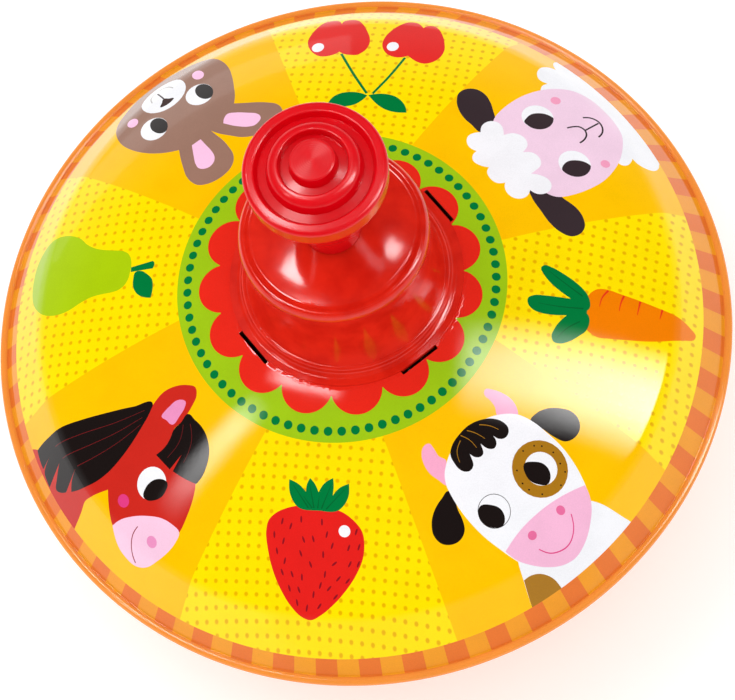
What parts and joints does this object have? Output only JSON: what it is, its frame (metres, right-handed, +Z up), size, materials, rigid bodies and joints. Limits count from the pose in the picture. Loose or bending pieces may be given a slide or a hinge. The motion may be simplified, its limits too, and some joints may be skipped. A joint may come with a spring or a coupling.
{
  "type": "spinning top",
  "caption": "Push-handle spinning top: printed tinplate disc shell with a red drawn turret, a mushroom knob on a twisted pump rod, a ratchet clutch and a foot.",
  "frame": {"origin": "tip of the foot on the spin axis, the lowest point of the part", "axes": "+Z up along the spin axis from the foot to the knob; the turret's tabs lie 40.5 degrees on from +X, +Y, -X and -Y"},
  "size_m": [0.19, 0.19, 0.1645],
  "materials": {
    "printed_tin": "gloss printed lacquer on tinplate",
    "lower_tin": "gloss lacquer on tinplate",
    "turret_red": "gloss enamel on drawn steel",
    "knob_red": "satin-gloss moulded plastic",
    "foot_red": "satin-gloss moulded plastic",
    "bright_steel": "drawn bright steel",
    "zinc_steel": "zinc-plated steel",
    "rivet_aluminium": "bright aluminium",
    "black_rubber": "matte rubber",
    "white_nylon": "natural nylon",
    "grey_nylon": "glass-filled nylon"
  },
  "bodies": {
    "root": {"upper_shell": "printed_tin", "lower_shell": "lower_tin", "turret": "turret_red", "centre_tube": "zinc_steel", "end_buffer": "black_rubber", "tube_collar": "zinc_steel", "clutch_body": "grey_nylon", "clutch_rivets": "rivet_aluminium", "clutch_cover": "grey_nylon", "driver_washer": "white_nylon", "foot": "foot_red", "foot_plate": "zinc_steel", "foot_rivets": "rivet_aluminium", "foot_tip": "bright_steel"},
    "swivel": {"guide_bush": "white_nylon"},
    "plunger": {"spiral_rod": "bright_steel", "rod_stop": "zinc_steel", "knob": "knob_red"},
    "driver": {"driver": "white_nylon", "driver_plate": "bright_steel"}
  },
  "joints": [
    {"name": "handle_spin", "type": "hinge", "parent": "root", "child": "swivel", "pos_m": [0, 0, 0.12], "axis": [0, 0, 1], "continuous": true},
    {"name": "handle_pump", "type": "slide", "parent": "swivel", "child": "plunger", "axis": [0, 0, 1], "range_m": [0, 0.07]},
    {"name": "driver_turn", "type": "hinge", "parent": "swivel", "child": "driver", "pos_m": [0, 0, 0.1], "axis": [0, 0, 1], "range_deg": [-580, 0]}
  ],
  "couplings": [
    {"joint": "driver_turn", "follows": "handle_pump", "rad_per_m": -142.8}
  ]
}
